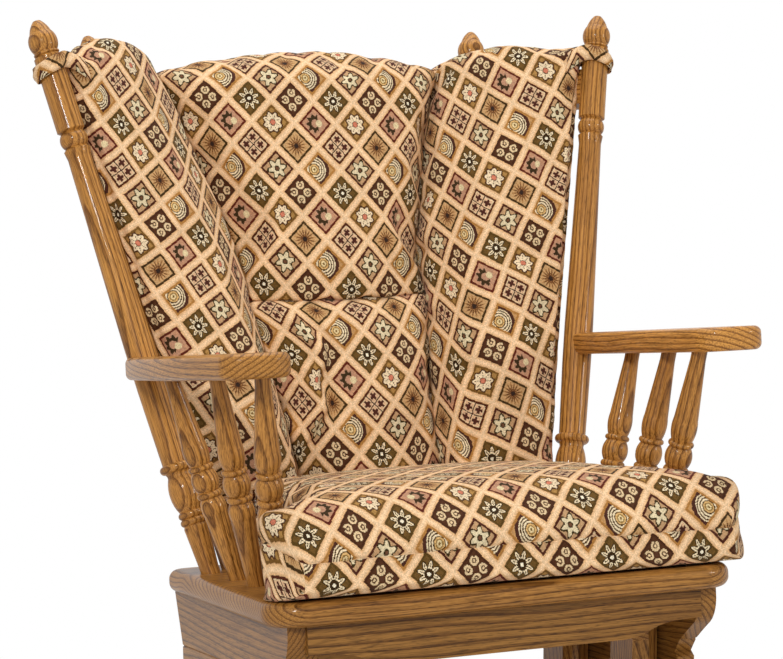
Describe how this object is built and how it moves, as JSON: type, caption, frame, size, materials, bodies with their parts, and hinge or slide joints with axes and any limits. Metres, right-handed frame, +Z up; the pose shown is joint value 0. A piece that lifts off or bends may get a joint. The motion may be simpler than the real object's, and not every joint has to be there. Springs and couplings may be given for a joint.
{
  "type": "glider rocker",
  "caption": "Oak glider rocking chair with turned back posts and arm spindles, wing-back cushions and a seat that swings fore and aft on links above a floor base.",
  "frame": {"origin": "on the floor, under the middle of the chair's box", "axes": "+X to the right seen from the front, +Y towards the back, +Z up"},
  "size_m": [0.807, 0.8208, 1.0296],
  "materials": {
    "oak": "stained and lacquered red oak, glossy",
    "fabric": "tapestry weave with a diamond lattice",
    "steel": "zinc plated",
    "bronze": "sintered bronze sleeve",
    "nylon": "moulded nylon"
  },
  "bodies": {
    "base": {"floor_glides": "nylon", "front_stretcher": "oak", "left_front_upright": "oak", "left_rear_upright": "oak", "left_runner": "oak", "left_top_rail": "oak", "rear_stretcher": "oak", "right_front_upright": "oak", "right_rear_upright": "oak", "right_runner": "oak", "right_top_rail": "oak", "top_cross_board": "oak", "upper_pivot_bolts": "steel", "upper_pivot_nuts": "steel"},
    "seat": {"arm_screws": "steel", "back_pillow": "fabric", "back_spindle_1": "oak", "back_spindle_2": "oak", "back_spindle_3": "oak", "back_spindle_4": "oak", "back_spindle_5": "oak", "crest_rail": "oak", "front_apron": "oak", "left_arm": "oak", "left_arm_spindle_1": "oak", "left_arm_spindle_2": "oak", "left_arm_spindle_3": "oak", "left_inner_post": "oak", "left_lower_skirt": "oak", "left_outer_post": "oak", "left_upper_skirt": "oak", "left_wing_pad": "fabric", "left_wing_rail": "oak", "left_wing_spindles": "oak", "lower_pivot_bolts": "steel", "lower_pivot_nuts": "steel", "lumbar_pillow": "fabric", "post_straps": "fabric", "rear_apron": "oak", "right_arm": "oak", "right_arm_spindle_1": "oak", "right_arm_spindle_2": "oak", "right_arm_spindle_3": "oak", "right_inner_post": "oak", "right_lower_skirt": "oak", "right_outer_post": "oak", "right_upper_skirt": "oak", "right_wing_pad": "fabric", "right_wing_rail": "oak", "right_wing_spindles": "oak", "seat_board": "oak", "seat_cushion": "fabric"},
    "left_front_swing": {"left_front_link": "oak", "left_front_bearings": "bronze"},
    "left_rear_swing": {"left_rear_link": "oak", "left_rear_bearings": "bronze"},
    "right_front_swing": {"right_front_link": "oak", "right_front_bearings": "bronze"},
    "right_rear_swing": {"right_rear_link": "oak", "right_rear_bearings": "bronze"}
  },
  "joints": [
    {"name": "glide_swing", "type": "hinge", "parent": "base", "child": "left_front_swing", "pos_m": [-0.231, -0.26705, 0.32176], "axis": [1, 0, 0], "range_deg": [-25, 25]},
    {"name": "seat_level", "type": "hinge", "parent": "left_front_swing", "child": "seat", "pos_m": [-0.231, -0.26705, 0.18676], "axis": [1, 0, 0], "range_deg": [-25, 25]},
    {"name": "right_front_turn", "type": "hinge", "parent": "base", "child": "right_front_swing", "pos_m": [0.231, -0.26705, 0.32176], "axis": [1, 0, 0], "range_deg": [-25, 25]},
    {"name": "left_rear_turn", "type": "hinge", "parent": "base", "child": "left_rear_swing", "pos_m": [-0.231, -0.07395, 0.29462], "axis": [1, 0, 0], "range_deg": [-25, 25]},
    {"name": "right_rear_turn", "type": "hinge", "parent": "base", "child": "right_rear_swing", "pos_m": [0.231, -0.07395, 0.29462], "axis": [1, 0, 0], "range_deg": [-25, 25]}
  ],
  "couplings": [
    {"joint": "seat_level", "follows": "glide_swing", "ratio": -1},
    {"joint": "right_front_turn", "follows": "glide_swing", "ratio": 1},
    {"joint": "left_rear_turn", "follows": "glide_swing", "ratio": 1},
    {"joint": "right_rear_turn", "follows": "glide_swing", "ratio": 1}
  ]
}
